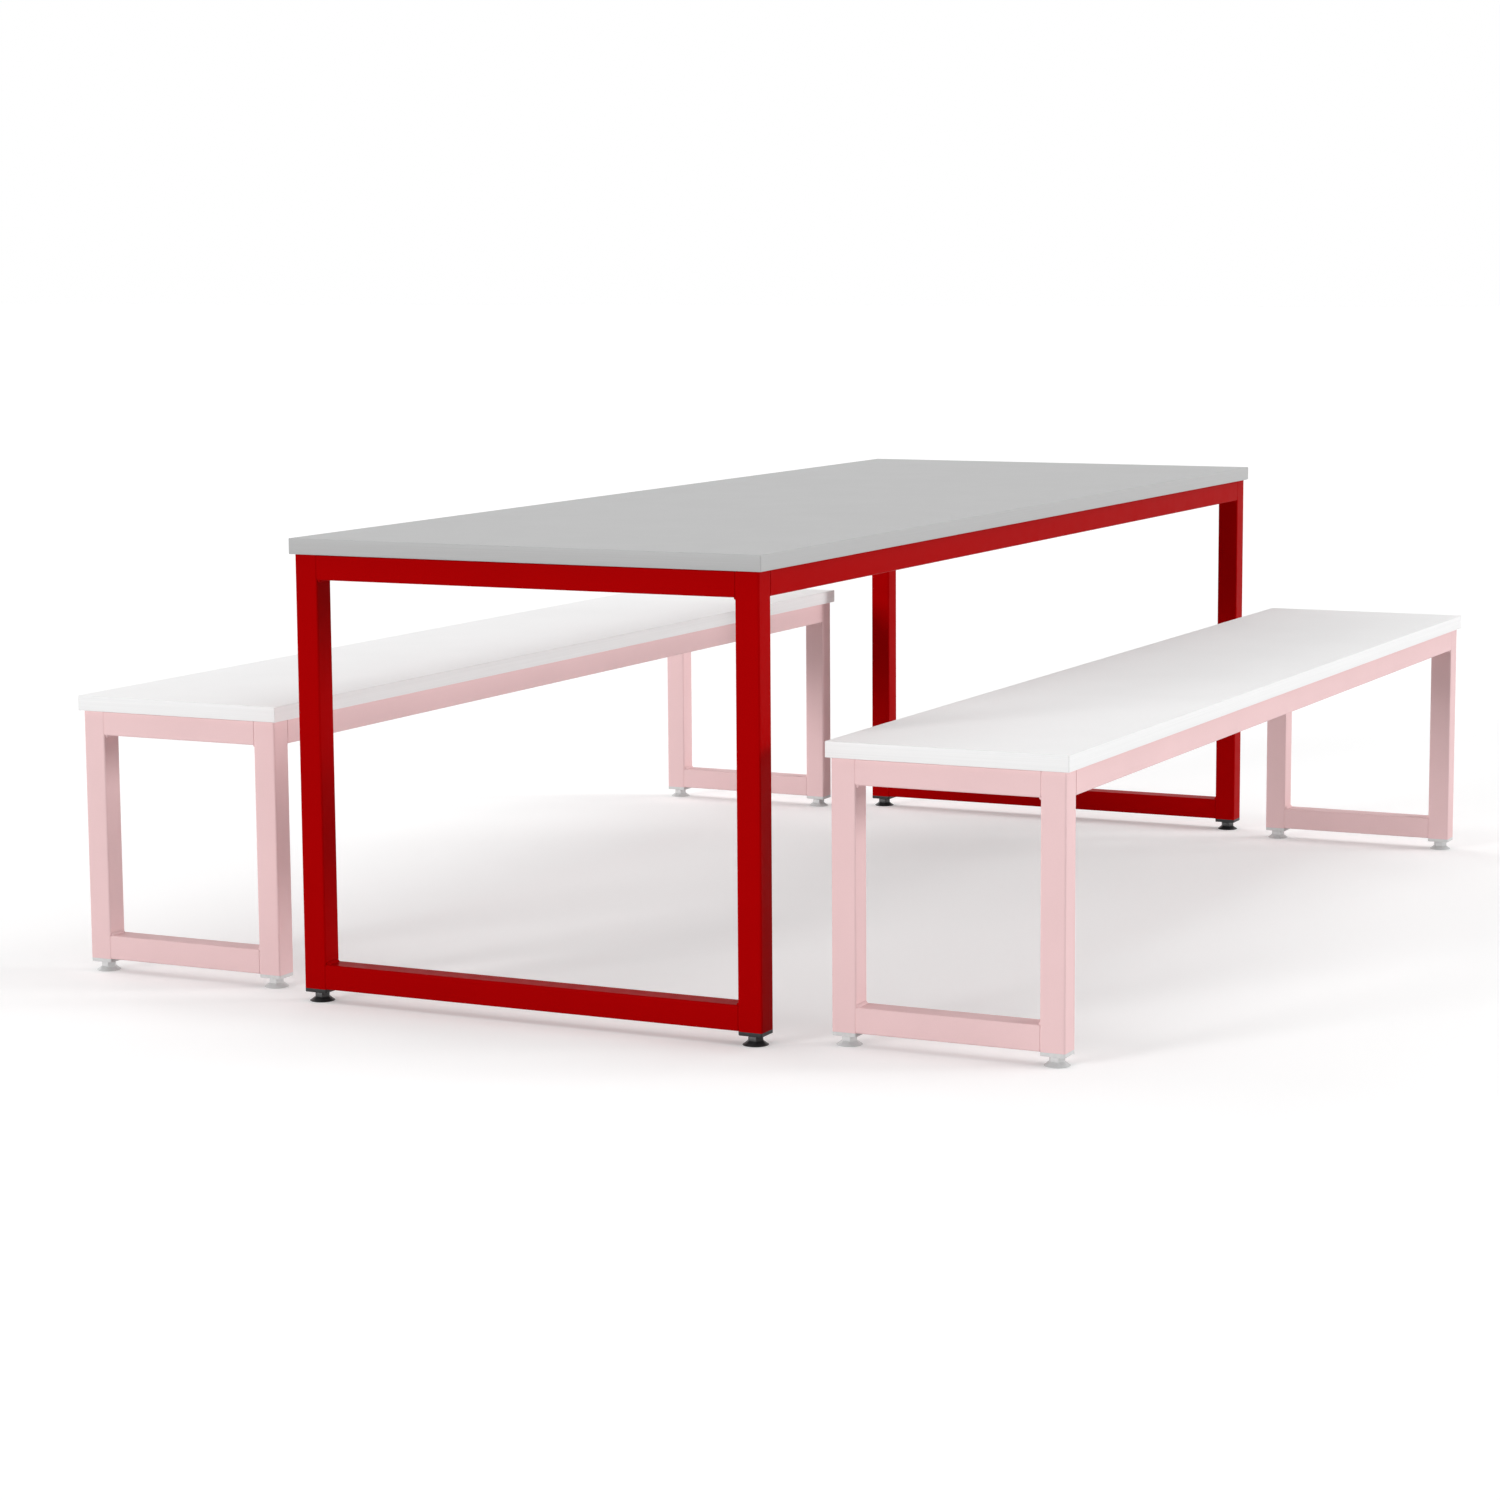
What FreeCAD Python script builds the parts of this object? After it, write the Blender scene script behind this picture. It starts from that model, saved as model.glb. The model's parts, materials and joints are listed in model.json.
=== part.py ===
import FreeCAD, Part
import Sketcher
import math
import os

# Canteen table with two loose benches.
#
# The three are built alike. Square tube is welded into a closed loop at each end, and a rail under
# each long edge joins the loops. The board has an edge band and is screwed down from below, through
# tabs inside the frame. A ribbed insert closes each leg and carries a levelling foot.
#
# Frame, in millimetres: X runs along the table, Y across it and Z up, and the origin is on the floor
# under the table's middle. Left and right are -X and +X, front and back are -Y and +Y.

SIZES = (
    ("table_length", 2240, "table top, end to end"),
    ("table_width", 825, "table top, side to side"),
    ("table_height", 740, "floor to the top face of the table"),
    ("bench_length", 2120, "seat, end to end"),
    ("bench_width", 388, "seat, side to side"),
    ("bench_height", 462, "floor to the top face of a seat"),
    ("bench_distance", 680, "middle of the table to the middle of a bench"),
    ("overhang", 7, "board past the frame, all round"),
    ("board_thickness", 25, "table top and seats"),
    ("edging_thickness", 2, "edge band, and the radius of its upright corners"),
    ("edging_arris", 1.2, "chamfer along the edge band's upper outer edge"),
    ("tube_size", 40, "square tube, outside"),
    ("tube_wall", 2, "square tube, wall"),
    ("tube_corner", 3, "square tube, outside corner radius"),
    ("weld_leg", 4.5, "fillet weld, leg of its section"),
    ("tab_width", 40, "fixing tab, along the rail"),
    ("tab_reach", 28, "fixing tab, out from the rail"),
    ("tab_thickness", 3, "fixing tab"),
    ("tab_clip", 9, "fixing tab, clipped off each free corner"),
    ("slot_clearance", 0.5, "fixing tab, screw to each side of its slot"),
    ("slot_travel", 4, "fixing tab, how far the slot lets its screw move"),
    ("slot_reach", 15, "fixing tab, rail to the middle of its slot"),
    ("tab_end_distance", 160, "leg to the middle of the nearest tab"),
    ("screw_diameter", 5, "board screw, shank"),
    ("screw_length", 20, "board screw, under its head"),
    ("screw_head_flats", 8, "board screw, across the flats of its head"),
    ("screw_head_height", 3.5, "board screw, head"),
    ("screw_clearance", 0.05, "board screw to its pilot hole, on the radius"),
    ("pilot_spare", 1, "pilot hole past the screw's end"),
    ("flange_thickness", 6, "leg insert, the flange under the tube"),
    ("insert_depth", 24, "leg insert, height inside the tube"),
    ("insert_wall", 2, "leg insert, wall of its box"),
    ("fin_height", 1.5, "leg insert, fin out from its box"),
    ("fin_thickness", 1.4, "leg insert, fin"),
    ("fin_first", 4, "leg insert, tube end to its first fin"),
    ("fin_pitch", 12, "leg insert, fin to fin"),
    ("fin_clearance", 0.05, "leg insert, fin to tube wall"),
    ("boss_wall", 3, "leg insert, wall of the square boss round the stud"),
    ("stud_diameter", 10, "levelling foot, stud"),
    ("stud_length", 26, "levelling foot, stud above its collar"),
    ("stud_clearance", 0.05, "stud to the insert's bore, on the radius"),
    ("foot_height", 16, "levelling foot, floor to the top of its collar, screwed right in"),
    ("foot_base_diameter", 40, "levelling foot, base"),
    ("foot_base_edge", 1, "levelling foot, upright edge of its base"),
    ("flare_height", 6, "levelling foot, six-sided flare from the base up to its collar"),
    ("flare_rim", 0.5, "levelling foot, rim left on the base outside the flare's corners"),
    ("collar_flats", 22, "levelling foot, across the flats of its collar"),
)

FIN_COUNT = 2
TABLE_TABS_EACH_SIDE = 3
BENCH_TABS_EACH_SIDE = 2

X_AXIS = FreeCAD.Vector(1, 0, 0)
Y_AXIS = FreeCAD.Vector(0, 1, 0)
Z_AXIS = FreeCAD.Vector(0, 0, 1)
ROOT_POINT = (-1, 1)
VERTICAL_AXIS = -2
HORIZONTAL_AXIS = -1
START, END, CENTRE = 1, 2, 3
LENGTH_TOLERANCE = 0.001
ENDS = {"left": -1, "right": 1}
SIDES = {"front": -1, "back": 1}

doc = FreeCAD.newDocument("canteen_table")
sheet = doc.addObject("Spreadsheet::Sheet", "Sizes")
nodes = []


# ---------------------------------------------------------------- sizes, as expressions

def fill_sheet():
    """One row for each size: its name, its value in a cell with that alias, and what it is."""
    for row, (alias, size, meaning) in enumerate(SIZES, start=1):
        sheet.set(f"A{row}", alias)
        sheet.set(f"B{row}", str(size))
        sheet.set(f"C{row}", meaning)
        sheet.setAlias(f"B{row}", alias)
    doc.recompute()


def value(expression):
    """What an expression of the sheet's sizes comes to now."""
    return float(sheet.evalExpression(str(expression)))


TUBE_INSIDE = "(Sizes.tube_size - 2 * Sizes.tube_wall)"
FRAME_BOTTOM = "(Sizes.foot_height + Sizes.flange_thickness)"
FLANGE_CLIP = "Sizes.tube_corner * (2 - sqrt(2))"
INSERT_BOX = f"({TUBE_INSIDE} - 2 * Sizes.fin_height)"
SLOT_WIDTH = "(Sizes.screw_diameter + 2 * Sizes.slot_clearance)"
PILOT_DIAMETER = "(Sizes.screw_diameter + 2 * Sizes.screw_clearance)"
BORE_DIAMETER = "(Sizes.stud_diameter + 2 * Sizes.stud_clearance)"
BOSS_WIDTH = f"({BORE_DIAMETER} + 2 * Sizes.boss_wall)"
COLLAR_BOTTOM = "(Sizes.foot_base_edge + Sizes.flare_height)"
FLARE_FLATS = "(sqrt(3) * (Sizes.foot_base_diameter / 2 - Sizes.flare_rim))"


class Unit:
    """The table or a bench: where its frame's outside and its board's underside lie."""

    def __init__(self, name, kind, middle_y, tabs_each_side):
        self.name = name
        self.length = f"Sizes.{kind}_length"
        self.width = f"Sizes.{kind}_width"
        self.middle_y = middle_y
        self.tabs_each_side = tabs_each_side
        self.frame_x = f"({self.length} / 2 - Sizes.overhang)"
        self.frame_y = f"({self.width} / 2 - Sizes.overhang)"
        self.frame_top = f"(Sizes.{kind}_height - Sizes.board_thickness)"
        self.leg_x = f"({self.frame_x} - Sizes.tube_size / 2)"
        self.leg_y = f"({self.frame_y} - Sizes.tube_size / 2)"
        self.inside_x = f"({self.frame_x} - Sizes.tube_size)"
        self.inside_y = f"({self.frame_y} - Sizes.tube_size)"


# ---------------------------------------------------------------- bodies and sketches

def new_body(name):
    body = doc.addObject("PartDesign::Body", name)
    body.Label = name
    return body


def origin_feature(body, role):
    return next(item for item in body.Origin.OriginFeatures if item.Role == role)


def new_sketch(body, name, plane="XY_Plane", lift="0"):
    """A sketch on one of the body's own origin planes, raised along its normal by lift."""
    sketch = body.newObject("Sketcher::SketchObject", f"{body.Name}_{name}")
    sketch.AttachmentSupport = [(origin_feature(body, plane), "")]
    sketch.MapMode = "FlatFace"
    sketch.setExpression("AttachmentOffset.Base.z", lift)
    return sketch


def bind(sketch, kind, *where_and_size):
    """Adds a dimension whose size, given last, is an expression."""
    *where, size = where_and_size
    index = sketch.addConstraint(Sketcher.Constraint(kind, *where, value(size)))
    sketch.setExpression(f"Constraints[{index}]", size)


def pin(sketch, item, point, x, y):
    """Holds a point of the sketch at x, y from the sketch's origin."""
    bind(sketch, "DistanceX", *ROOT_POINT, item, point, x)
    bind(sketch, "DistanceY", *ROOT_POINT, item, point, y)


def draw_outline(sketch, corners):
    """A closed outline of straight lines through corners given as (x, y) expressions."""
    points = [FreeCAD.Vector(value(x), value(y), 0) for x, y in corners]
    count = len(points)
    lines = []
    for index in range(count):
        line = Part.LineSegment(points[index], points[(index + 1) % count])
        lines.append(sketch.addGeometry(line))
    for index, (x, y) in enumerate(corners):
        sketch.addConstraint(
            Sketcher.Constraint("Coincident", lines[index - 1], END, lines[index], START))
        pin(sketch, lines[index], START, x, y)


def draw_rectangle(sketch, width, depth, middle_y="0"):
    """A rectangle with its middle on the sketch's Y axis."""
    half_width = f"({width}) / 2"
    near = f"{middle_y} - ({depth}) / 2"
    far = f"{middle_y} + ({depth}) / 2"
    draw_outline(sketch, (
        (f"-{half_width}", near),
        (half_width, near),
        (half_width, far),
        (f"-{half_width}", far),
    ))


def draw_clipped_square(sketch, side, clip):
    """A square about the sketch's origin, with its corners clipped off."""
    half = f"({side}) / 2"
    flat = f"({half} - ({clip}))"
    draw_outline(sketch, (
        (f"-{flat}", f"-{half}"),
        (flat, f"-{half}"),
        (half, f"-{flat}"),
        (half, flat),
        (flat, half),
        (f"-{flat}", half),
        (f"-{half}", flat),
        (f"-{half}", f"-{flat}"),
    ))


def draw_rounded_square(sketch, side, corner):
    """A square about the sketch's origin, with rounded corners."""
    half = value(side) / 2
    flat = half - value(corner)
    lines = []
    arcs = []
    for quarter in range(4):
        turn = FreeCAD.Rotation(Z_AXIS, 90 * quarter)
        start = turn.multVec(FreeCAD.Vector(-flat, -half, 0))
        end = turn.multVec(FreeCAD.Vector(flat, -half, 0))
        middle = turn.multVec(FreeCAD.Vector(flat, -flat, 0))
        from_angle = math.radians(90 * quarter - 90)
        to_angle = math.radians(90 * quarter)
        circle = Part.Circle(middle, Z_AXIS, half - flat)
        lines.append(sketch.addGeometry(Part.LineSegment(start, end)))
        arcs.append(sketch.addGeometry(Part.ArcOfCircle(circle, from_angle, to_angle)))
    for quarter in range(4):
        following = lines[(quarter + 1) % 4]
        level = "Vertical" if quarter % 2 else "Horizontal"
        sketch.addConstraint([
            Sketcher.Constraint("Tangent", lines[quarter], END, arcs[quarter], START),
            Sketcher.Constraint("Tangent", arcs[quarter], END, following, START),
            Sketcher.Constraint(level, lines[quarter]),
        ])
    for arc in arcs[1:]:
        sketch.addConstraint(Sketcher.Constraint("Equal", arcs[0], arc))
    sketch.addConstraint(Sketcher.Constraint("Equal", lines[0], lines[1]))
    sketch.addConstraint(
        Sketcher.Constraint("Symmetric", arcs[0], CENTRE, arcs[2], CENTRE, *ROOT_POINT))
    bind(sketch, "Radius", arcs[0], corner)
    bind(sketch, "DistanceX", lines[0], START, lines[0], END, f"({side}) - 2 * ({corner})")


def draw_circle(sketch, diameter, x="0", y="0"):
    middle = FreeCAD.Vector(value(x), value(y), 0)
    circle = sketch.addGeometry(Part.Circle(middle, Z_AXIS, value(diameter) / 2))
    bind(sketch, "Diameter", circle, diameter)
    pin(sketch, circle, CENTRE, x, y)


def draw_hexagon(sketch, flats):
    """A regular hexagon about the sketch's origin, two of its sides facing along X."""
    half = f"({flats}) / 2"
    point = f"({flats}) / sqrt(3)"
    draw_outline(sketch, (
        (half, f"-{point} / 2"),
        (half, f"{point} / 2"),
        ("0", point),
        (f"-{half}", f"{point} / 2"),
        (f"-{half}", f"-{point} / 2"),
        ("0", f"-{point}"),
    ))


def pad(body, sketch, length, downwards=False):
    feature = body.newObject("PartDesign::Pad", f"{sketch.Name}_pad")
    feature.Profile = sketch
    feature.setExpression("Length", length)
    feature.Reversed = downwards
    sketch.Visibility = False
    return feature


def pocket_upwards(body, sketch, depth):
    """A blind pocket from the sketch's plane, up into the body above it."""
    feature = body.newObject("PartDesign::Pocket", f"{sketch.Name}_pocket")
    feature.Profile = sketch
    feature.setExpression("Length", depth)
    feature.Reversed = True
    return feature


def level_edges(shape, height):
    """The edges that lie level at a height, each as (name, edge)."""
    return [(f"Edge{number}", edge) for number, edge in enumerate(shape.Edges, start=1)
            if abs(edge.BoundBox.ZMin - height) < LENGTH_TOLERANCE
            and abs(edge.BoundBox.ZMax - height) < LENGTH_TOLERANCE]


# ---------------------------------------------------------------- placing

def place(part, x, y, z, turn=None):
    part.Placement.Rotation = turn or FreeCAD.Rotation()
    part.setExpression("Placement.Base.x", x)
    part.setExpression("Placement.Base.y", y)
    part.setExpression("Placement.Base.z", z)


def add_group(name, unit, copies):
    """One node of separate solids: each copy is (body, x, y, z, turn), from the unit's middle."""
    links = []
    for index, (body, x, y, z, turn) in enumerate(copies, start=1):
        link = doc.addObject("App::Link", f"{name}_{index}")
        link.LinkedObject = body
        place(link, x, y, z, turn)
        links.append(link)
    group = doc.addObject("Part::Compound", name)
    group.Label = name
    group.Links = links
    place(group, "0", unit.middle_y, "0")
    nodes.append(group)


# ---------------------------------------------------------------- frame

RUNS = {
    "X": FreeCAD.Rotation(Y_AXIS, 90),
    "Y": FreeCAD.Rotation(X_AXIS, -90),
    "Z": FreeCAD.Rotation(),
}


def add_tube(name, unit, run, length, x, y, z):
    """A length of square tube along X, Y or Z, starting at x, y, z from the unit's middle."""
    body = new_body(name)
    section = new_sketch(body, "section")
    draw_rounded_square(section, "Sizes.tube_size", "Sizes.tube_corner")
    draw_rectangle(section, TUBE_INSIDE, TUBE_INSIDE)
    pad(body, section, length)
    place(body, x, f"{unit.middle_y} + {y}", z, RUNS[run])
    nodes.append(body)


def add_legs(unit):
    height = f"{unit.frame_top} - {FRAME_BOTTOM}"
    for end, x_sign in ENDS.items():
        for side, y_sign in SIDES.items():
            add_tube(f"{unit.name}_leg_{end}_{side}", unit, "Z", height,
                     f"{x_sign} * {unit.leg_x}", f"{y_sign} * {unit.leg_y}", FRAME_BOTTOM)


def add_end_rails(unit):
    """The rails across each end, between its two legs: one under the board, one near the floor."""
    length = f"2 * {unit.inside_y}"
    levels = {
        "top": f"{unit.frame_top} - Sizes.tube_size / 2",
        "bottom": f"{FRAME_BOTTOM} + Sizes.tube_size / 2",
    }
    for end, x_sign in ENDS.items():
        for level, z in levels.items():
            add_tube(f"{unit.name}_end_{level}_rail_{end}", unit, "Y", length,
                     f"{x_sign} * {unit.leg_x}", f"-{unit.inside_y}", z)


def add_side_rails(unit):
    """The rails along each long edge, between the legs and flush with them."""
    for side, y_sign in SIDES.items():
        add_tube(f"{unit.name}_side_rail_{side}", unit, "X", f"2 * {unit.inside_x}",
                 f"-{unit.inside_x}", f"{y_sign} * {unit.leg_y}",
                 f"{unit.frame_top} - Sizes.tube_size / 2")


def weld_bead():
    """A fillet weld as long as the tube's flat, along X. It fills the corner between +Y and +Z."""
    body = new_body("weld_bead")
    section = new_sketch(body, "section", "YZ_Plane", "-(Sizes.tube_size / 2 - Sizes.tube_corner)")
    draw_outline(section, (("0", "0"), ("Sizes.weld_leg", "0"), ("0", "Sizes.weld_leg")))
    pad(body, section, "Sizes.tube_size - 2 * Sizes.tube_corner")
    return body


def add_welds(unit, bead):
    """A bead in each inside corner of the end loops, and one under each end of a side rail."""
    top_of_loop = f"{unit.frame_top} - Sizes.tube_size"
    bottom_of_loop = f"{FRAME_BOTTOM} + Sizes.tube_size"
    copies = []
    for x_sign in ENDS.values():
        for y_sign in SIDES.values():
            upper = FreeCAD.Rotation(X_AXIS, -90 if y_sign < 0 else 180)
            lower = FreeCAD.Rotation(X_AXIS, 0 if y_sign < 0 else 90)
            under_side_rail = (FreeCAD.Rotation(Z_AXIS, 90 * x_sign)
                               * FreeCAD.Rotation(X_AXIS, -90))
            leg_x = f"{x_sign} * {unit.leg_x}"
            leg_y = f"{y_sign} * {unit.leg_y}"
            inside_x = f"{x_sign} * {unit.inside_x}"
            inside_y = f"{y_sign} * {unit.inside_y}"
            copies.append((bead, leg_x, inside_y, top_of_loop, upper))
            copies.append((bead, leg_x, inside_y, bottom_of_loop, lower))
            copies.append((bead, inside_x, leg_y, top_of_loop, under_side_rail))
    add_group(f"{unit.name}_weld_beads", unit, copies)


# ---------------------------------------------------------------- fixings under the board

def tab_spots(unit):
    """The middle of each tab's welded edge, as (x, y expression, the side's sign of Y)."""
    outermost = f"({unit.inside_x} - Sizes.tab_end_distance)"
    return [(f"{share} * {outermost}", f"{y_sign} * {unit.inside_y}", y_sign)
            for y_sign in SIDES.values() for share in spread(unit.tabs_each_side)]


def spread(count):
    """Evenly spaced shares from -1 to 1."""
    return [2 * index / (count - 1) - 1 for index in range(count)]


def screw_spots(unit):
    """The middle of each tab's slot, as (x, y) expressions."""
    return [(x, f"{y} - {y_sign} * Sizes.slot_reach") for x, y, y_sign in tab_spots(unit)]


def fixing_tab():
    """A plate welded to a rail by its edge on the X axis, reaching along +Y, its top at Z = 0."""
    body = new_body("fixing_tab")
    plate = new_sketch(body, "plate")
    half = "Sizes.tab_width / 2"
    shoulder = "Sizes.tab_reach - Sizes.tab_clip"
    draw_outline(plate, (
        (f"-{half}", "0"),
        (half, "0"),
        (half, shoulder),
        (f"{half} - Sizes.tab_clip", "Sizes.tab_reach"),
        (f"Sizes.tab_clip - {half}", "Sizes.tab_reach"),
        (f"-{half}", shoulder),
    ))
    draw_rectangle(plate, SLOT_WIDTH, f"{SLOT_WIDTH} + Sizes.slot_travel", "Sizes.slot_reach")
    pad(body, plate, "Sizes.tab_thickness", downwards=True)
    return body


def board_screw():
    """A hex-head screw pointing up, its head's bearing face at Z = 0."""
    body = new_body("board_screw")
    head = new_sketch(body, "head")
    draw_hexagon(head, "Sizes.screw_head_flats")
    pad(body, head, "Sizes.screw_head_height", downwards=True)
    shank = new_sketch(body, "shank")
    draw_circle(shank, "Sizes.screw_diameter")
    pad(body, shank, "Sizes.screw_length")
    return body


def add_fixings(unit, tab, screw):
    tabs = [(tab, x, y, unit.frame_top, FreeCAD.Rotation(Z_AXIS, 180 if y_sign > 0 else 0))
            for x, y, y_sign in tab_spots(unit)]
    add_group(f"{unit.name}_fixing_tabs", unit, tabs)
    under_tab = f"{unit.frame_top} - Sizes.tab_thickness"
    screws = [(screw, x, y, under_tab, None) for x, y in screw_spots(unit)]
    add_group(f"{unit.name}_fixing_screws", unit, screws)


# ---------------------------------------------------------------- board and edge band

def add_board(unit):
    """The board inside its edge band, with a blind pilot hole over each tab."""
    body = new_body(f"{unit.name}_board")
    slab = new_sketch(body, "slab")
    draw_rectangle(slab, f"{unit.length} - 2 * Sizes.edging_thickness",
                   f"{unit.width} - 2 * Sizes.edging_thickness")
    pad(body, slab, "Sizes.board_thickness")
    pilots = new_sketch(body, "pilots")
    for x, y in screw_spots(unit):
        draw_circle(pilots, PILOT_DIAMETER, x, y)
    pocket_upwards(body, pilots,
                   "Sizes.screw_length - Sizes.tab_thickness + Sizes.pilot_spare")
    place(body, "0", unit.middle_y, unit.frame_top)
    nodes.append(body)


def break_upper_edge(body, strip):
    """A small chamfer along the strip's upper outer edge. Its inner face lies at Y = 0."""
    doc.recompute()
    top = value("Sizes.board_thickness")
    chamfer = body.newObject("PartDesign::Chamfer", f"{body.Name}_arris")
    chamfer.Base = (strip, [name for name, edge in level_edges(strip.Shape, top)
                            if edge.BoundBox.YMax > LENGTH_TOLERANCE])
    chamfer.setExpression("Size", "Sizes.edging_arris")


def long_strip(unit):
    """The strip along a long side. It laps the end strips, and its ends are quarter rounds."""
    body = new_body(f"{unit.name}_long_strip")
    plan = new_sketch(body, "plan")
    half = value(unit.length) / 2
    round_off = value("Sizes.edging_thickness")
    flat = half - round_off
    inner = plan.addGeometry(
        Part.LineSegment(FreeCAD.Vector(-half, 0, 0), FreeCAD.Vector(half, 0, 0)))
    outer = plan.addGeometry(
        Part.LineSegment(FreeCAD.Vector(flat, round_off, 0), FreeCAD.Vector(-flat, round_off, 0)))
    right = plan.addGeometry(Part.ArcOfCircle(
        Part.Circle(FreeCAD.Vector(flat, 0, 0), Z_AXIS, round_off), 0, math.pi / 2))
    left = plan.addGeometry(Part.ArcOfCircle(
        Part.Circle(FreeCAD.Vector(-flat, 0, 0), Z_AXIS, round_off), math.pi / 2, math.pi))
    plan.addConstraint([
        Sketcher.Constraint("Coincident", inner, END, right, START),
        Sketcher.Constraint("Tangent", right, END, outer, START),
        Sketcher.Constraint("Tangent", outer, END, left, START),
        Sketcher.Constraint("Coincident", left, END, inner, START),
        Sketcher.Constraint("Symmetric", inner, START, inner, END, VERTICAL_AXIS),
        Sketcher.Constraint("PointOnObject", inner, START, HORIZONTAL_AXIS),
        Sketcher.Constraint("PointOnObject", right, CENTRE, HORIZONTAL_AXIS),
        Sketcher.Constraint("PointOnObject", left, CENTRE, HORIZONTAL_AXIS),
        Sketcher.Constraint("Equal", right, left),
    ])
    bind(plan, "Radius", right, "Sizes.edging_thickness")
    bind(plan, "DistanceX", inner, START, inner, END, unit.length)
    break_upper_edge(body, pad(body, plan, "Sizes.board_thickness"))
    return body


def end_strip(unit):
    """The strip across an end, between the long strips."""
    body = new_body(f"{unit.name}_end_strip")
    plan = new_sketch(body, "plan")
    half = f"({unit.width} / 2 - Sizes.edging_thickness)"
    draw_outline(plan, (
        (f"-{half}", "0"),
        (half, "0"),
        (half, "Sizes.edging_thickness"),
        (f"-{half}", "Sizes.edging_thickness"),
    ))
    break_upper_edge(body, pad(body, plan, "Sizes.board_thickness"))
    return body


def add_edging(unit):
    long_body = long_strip(unit)
    end_body = end_strip(unit)
    side_y = f"({unit.width} / 2 - Sizes.edging_thickness)"
    end_x = f"({unit.length} / 2 - Sizes.edging_thickness)"
    copies = []
    for y_sign in SIDES.values():
        turn = FreeCAD.Rotation(Z_AXIS, 0 if y_sign > 0 else 180)
        copies.append((long_body, "0", f"{y_sign} * {side_y}", unit.frame_top, turn))
    for x_sign in ENDS.values():
        turn = FreeCAD.Rotation(Z_AXIS, -90 * x_sign)
        copies.append((end_body, f"{x_sign} * {end_x}", "0", unit.frame_top, turn))
    add_group(f"{unit.name}_edging", unit, copies)


# ---------------------------------------------------------------- leg inserts and levelling feet

def leg_insert():
    """The plug in a leg's end, which is at Z = 0: a flange below it, and above it an open box with
    fins that grip the tube, and a boss in the middle that the foot's stud screws into."""
    body = new_body("leg_insert")
    flange = new_sketch(body, "flange")
    draw_clipped_square(flange, "Sizes.tube_size", FLANGE_CLIP)
    pad(body, flange, "Sizes.flange_thickness", downwards=True)

    walls = new_sketch(body, "walls")
    box_inside = f"({INSERT_BOX} - 2 * Sizes.insert_wall)"
    draw_rectangle(walls, INSERT_BOX, INSERT_BOX)
    draw_rectangle(walls, box_inside, box_inside)
    pad(body, walls, "Sizes.insert_depth")

    boss = new_sketch(body, "boss")
    draw_rectangle(boss, BOSS_WIDTH, BOSS_WIDTH)
    pad(body, boss, "Sizes.insert_depth")

    fin = new_sketch(body, "fin", lift="Sizes.fin_first")
    fin_side = f"({TUBE_INSIDE} - 2 * Sizes.fin_clearance)"
    draw_rectangle(fin, fin_side, fin_side)
    fin_root = f"({INSERT_BOX} - Sizes.insert_wall)"
    draw_rectangle(fin, fin_root, fin_root)
    first_fin = pad(body, fin, "Sizes.fin_thickness")
    fins = body.newObject("PartDesign::LinearPattern", "leg_insert_fins")
    fins.Originals = [first_fin]
    fins.Direction = (origin_feature(body, "Z_Axis"), [""])
    fins.setExpression("Length", f"{FIN_COUNT - 1} * Sizes.fin_pitch")
    fins.Occurrences = FIN_COUNT
    body.Tip = fins

    bore = new_sketch(body, "bore", lift="-Sizes.flange_thickness")
    draw_circle(bore, BORE_DIAMETER)
    pocket_upwards(body, bore, "Sizes.flange_thickness + Sizes.insert_depth")
    return body


def add_inserts(unit, insert):
    copies = [(insert, f"{x_sign} * {unit.leg_x}", f"{y_sign} * {unit.leg_y}", FRAME_BOTTOM, None)
              for x_sign in ENDS.values() for y_sign in SIDES.values()]
    add_group(f"{unit.name}_leg_inserts", unit, copies)


def add_foot(name, x, y):
    """A levelling foot standing on the floor: a round base, a six-sided flare up to a hex collar,
    and a stud. The flare is the hexagon's upper edges, cut back to the collar."""
    body = new_body(name)
    flare = new_sketch(body, "flare")
    draw_hexagon(flare, FLARE_FLATS)
    block = pad(body, flare, COLLAR_BOTTOM)
    doc.recompute()
    slope = body.newObject("PartDesign::Chamfer", f"{name}_slope")
    slope.Base = (block, [name for name, edge in level_edges(block.Shape, value(COLLAR_BOTTOM))])
    slope.ChamferType = "Two distances"
    slope.setExpression("Size", "Sizes.flare_height")
    slope.setExpression("Size2", f"({FLARE_FLATS} - Sizes.collar_flats) / 2")

    base = new_sketch(body, "base")
    draw_circle(base, "Sizes.foot_base_diameter")
    pad(body, base, "Sizes.foot_base_edge")
    collar = new_sketch(body, "collar", lift=COLLAR_BOTTOM)
    draw_hexagon(collar, "Sizes.collar_flats")
    pad(body, collar, f"Sizes.foot_height - {COLLAR_BOTTOM}")
    stud = new_sketch(body, "stud", lift="Sizes.foot_height")
    draw_circle(stud, "Sizes.stud_diameter")
    pad(body, stud, "Sizes.stud_length")
    place(body, x, y, "0")
    nodes.append(body)


def add_feet(unit):
    for end, x_sign in ENDS.items():
        for side, y_sign in SIDES.items():
            add_foot(f"{unit.name}_foot_{end}_{side}", f"{x_sign} * {unit.leg_x}",
                     f"{unit.middle_y} + {y_sign} * {unit.leg_y}")


# ---------------------------------------------------------------- build, check, write

def check_document():
    """Stops if any object failed, or if a pocket cut nothing."""
    for item in doc.Objects:
        if {"Invalid", "Error"} & set(item.State):
            raise RuntimeError(f"{item.Label} failed: {item.State}")
        if item.TypeId == "PartDesign::Pocket":
            if item.Shape.Volume >= item.BaseFeature.Shape.Volume:
                raise RuntimeError(f"{item.Label} cuts nothing")
    for node in nodes:
        if node.Shape.isNull() or not node.Shape.isValid():
            raise RuntimeError(f"{node.Label} has no valid shape")


def write_parts():
    os.makedirs("parts", exist_ok=True)
    for node in nodes:
        node.Shape.exportStep(f"parts/{node.Label}.step")


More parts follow.
